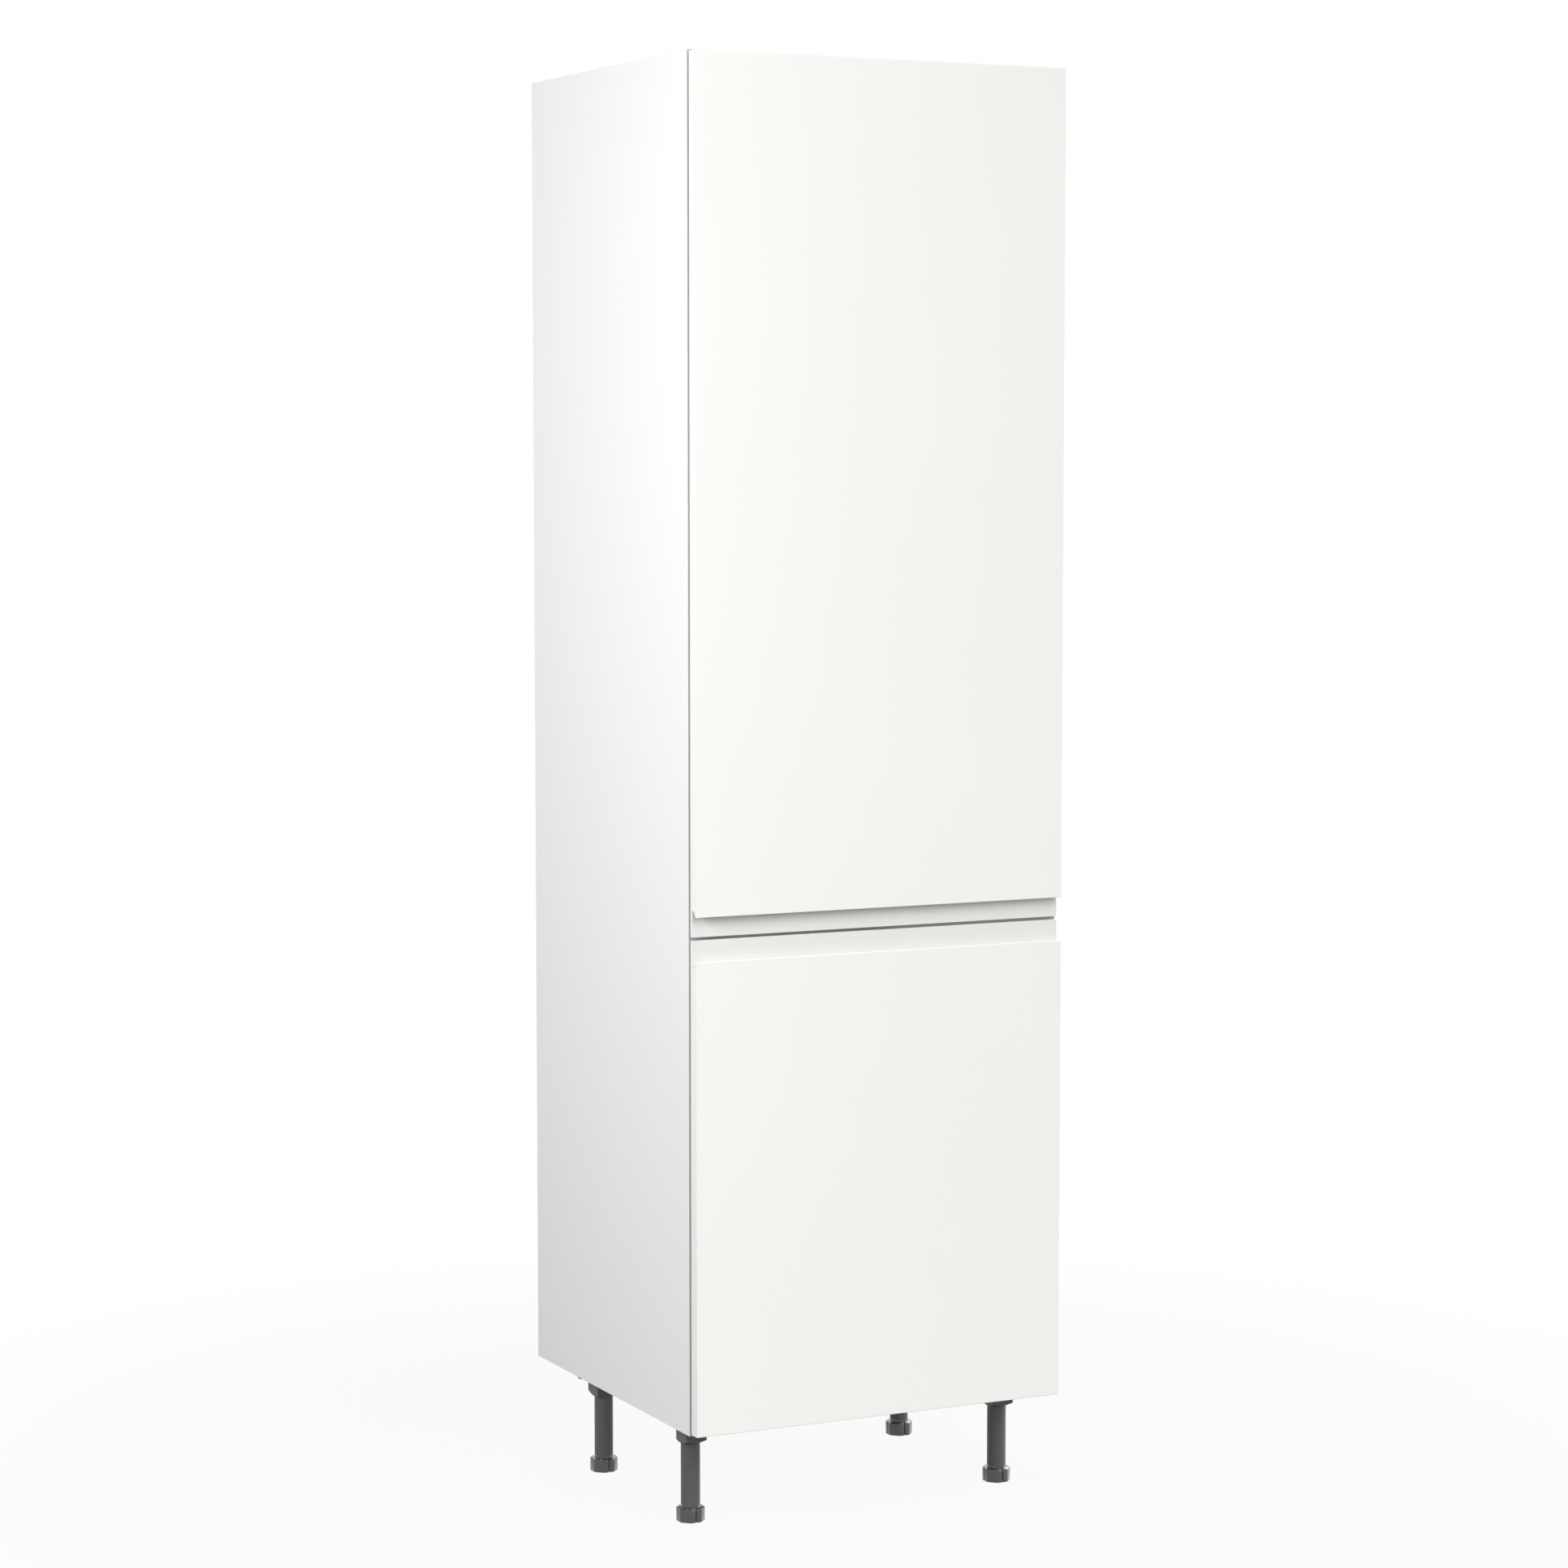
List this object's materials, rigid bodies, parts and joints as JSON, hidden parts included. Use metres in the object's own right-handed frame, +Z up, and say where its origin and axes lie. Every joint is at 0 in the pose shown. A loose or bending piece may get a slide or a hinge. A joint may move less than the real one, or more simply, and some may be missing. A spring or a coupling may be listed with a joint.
{
  "type": "fridge housing unit",
  "caption": "Tall white handleless cabinet on adjustable plastic legs that houses a built-in fridge freezer behind grooved doors hung on concealed hinges.",
  "frame": {"origin": "on the floor, under the middle of the housing's width and of its depth with the doors closed", "axes": "+X to the right as seen from the front, +Y from the doors to the back, +Z up"},
  "size_m": [0.6, 0.587, 2.12],
  "materials": {
    "carcass_board": "white melamine-faced board, matt",
    "door_face": "white lacquered board, smooth silk gloss",
    "leg_plastic": "dark grey moulded plastic",
    "hinge_steel": "nickel-plated pressed steel",
    "pin_steel": "bright turned steel",
    "screw_steel": "zinc-plated steel",
    "bumper_rubber": "soft translucent pads",
    "dowel_wood": "plain beech"
  },
  "bodies": {
    "carcass": {"left_side_panel": "carcass_board", "right_side_panel": "carcass_board", "base_panel": "carcass_board", "appliance_shelf": "carcass_board", "top_panel": "carcass_board", "bottom_back_rail": "carcass_board", "middle_back_rail": "carcass_board", "top_back_rail": "carcass_board", "dowels": "dowel_wood", "front_left_leg_socket": "leg_plastic", "front_left_leg_tube": "leg_plastic", "front_right_leg_socket": "leg_plastic", "front_right_leg_tube": "leg_plastic", "back_left_leg_socket": "leg_plastic", "back_left_leg_tube": "leg_plastic", "back_right_leg_socket": "leg_plastic", "back_right_leg_tube": "leg_plastic", "leg_screws": "screw_steel", "upper_bottom_hinge_plate": "hinge_steel", "upper_bottom_hinge_arm": "hinge_steel", "upper_middle_hinge_plate": "hinge_steel", "upper_middle_hinge_arm": "hinge_steel", "upper_top_hinge_plate": "hinge_steel", "upper_top_hinge_arm": "hinge_steel", "lower_bottom_hinge_plate": "hinge_steel", "lower_bottom_hinge_arm": "hinge_steel", "lower_top_hinge_plate": "hinge_steel", "lower_top_hinge_arm": "hinge_steel", "hinge_arm_pins": "pin_steel", "hinge_plate_screws": "screw_steel", "hinge_arm_screws": "screw_steel"},
    "upper_outer_links": {"upper_bottom_hinge_outer_link": "hinge_steel", "upper_middle_hinge_outer_link": "hinge_steel", "upper_top_hinge_outer_link": "hinge_steel"},
    "upper_inner_links": {"upper_bottom_hinge_inner_link": "hinge_steel", "upper_middle_hinge_inner_link": "hinge_steel", "upper_top_hinge_inner_link": "hinge_steel"},
    "upper_door": {"upper_door": "door_face", "upper_door_bumpers": "bumper_rubber", "upper_bottom_hinge_cup": "hinge_steel", "upper_middle_hinge_cup": "hinge_steel", "upper_top_hinge_cup": "hinge_steel", "upper_door_cup_pins": "pin_steel", "upper_door_cup_screws": "screw_steel"},
    "lower_outer_links": {"lower_bottom_hinge_outer_link": "hinge_steel", "lower_top_hinge_outer_link": "hinge_steel"},
    "lower_inner_links": {"lower_bottom_hinge_inner_link": "hinge_steel", "lower_top_hinge_inner_link": "hinge_steel"},
    "lower_door": {"lower_door": "door_face", "lower_door_bumpers": "bumper_rubber", "lower_bottom_hinge_cup": "hinge_steel", "lower_top_hinge_cup": "hinge_steel", "lower_door_cup_pins": "pin_steel", "lower_door_cup_screws": "screw_steel"},
    "front_left_foot": {"front_left_foot": "leg_plastic"},
    "front_right_foot": {"front_right_foot": "leg_plastic"},
    "back_left_foot": {"back_left_foot": "leg_plastic"},
    "back_right_foot": {"back_right_foot": "leg_plastic"}
  },
  "joints": [
    {"name": "upper_outer_link_swing", "type": "hinge", "parent": "carcass", "child": "upper_outer_links", "pos_m": [0.267, -0.2595, 1.495], "axis": [0, 0, 1], "range_deg": [-15.8, 0]},
    {"name": "upper_inner_link_swing", "type": "hinge", "parent": "carcass", "child": "upper_inner_links", "pos_m": [0.2615, -0.2502, 1.495], "axis": [0, 0, 1], "range_deg": [-27.05, 0]},
    {"name": "upper_door_swing", "type": "hinge", "parent": "upper_outer_links", "child": "upper_door", "pos_m": [0.2888, -0.283, 1.495], "axis": [0, 0, 1], "range_deg": [0, 105.75], "stiffness_Nm_per_rad": 1.6, "springref_deg": -45.84},
    {"name": "lower_outer_link_swing", "type": "hinge", "parent": "carcass", "child": "lower_outer_links", "pos_m": [0.267, -0.2595, 0.51], "axis": [0, 0, 1], "range_deg": [-15.8, 0]},
    {"name": "lower_inner_link_swing", "type": "hinge", "parent": "carcass", "child": "lower_inner_links", "pos_m": [0.2615, -0.2502, 0.51], "axis": [0, 0, 1], "range_deg": [-27.05, 0]},
    {"name": "lower_door_swing", "type": "hinge", "parent": "lower_outer_links", "child": "lower_door", "pos_m": [0.2888, -0.283, 0.51], "axis": [0, 0, 1], "range_deg": [0, 105.75], "stiffness_Nm_per_rad": 1.6, "springref_deg": -45.84},
    {"name": "front_left_foot_height", "type": "slide", "parent": "carcass", "child": "front_left_foot", "axis": [0, 0, -1], "range_m": [0, 0.02]},
    {"name": "front_right_foot_height", "type": "slide", "parent": "carcass", "child": "front_right_foot", "axis": [0, 0, -1], "range_m": [0, 0.02]},
    {"name": "back_left_foot_height", "type": "slide", "parent": "carcass", "child": "back_left_foot", "axis": [0, 0, -1], "range_m": [0, 0.02]},
    {"name": "back_right_foot_height", "type": "slide", "parent": "carcass", "child": "back_right_foot", "axis": [0, 0, -1], "range_m": [0, 0.02]}
  ],
  "couplings": [
    {"joint": "upper_outer_link_swing", "follows": "upper_door_swing", "ratio": -0.14894},
    {"joint": "upper_inner_link_swing", "follows": "upper_door_swing", "ratio": -0.25532},
    {"joint": "lower_outer_link_swing", "follows": "lower_door_swing", "ratio": -0.14894},
    {"joint": "lower_inner_link_swing", "follows": "lower_door_swing", "ratio": -0.25532}
  ]
}
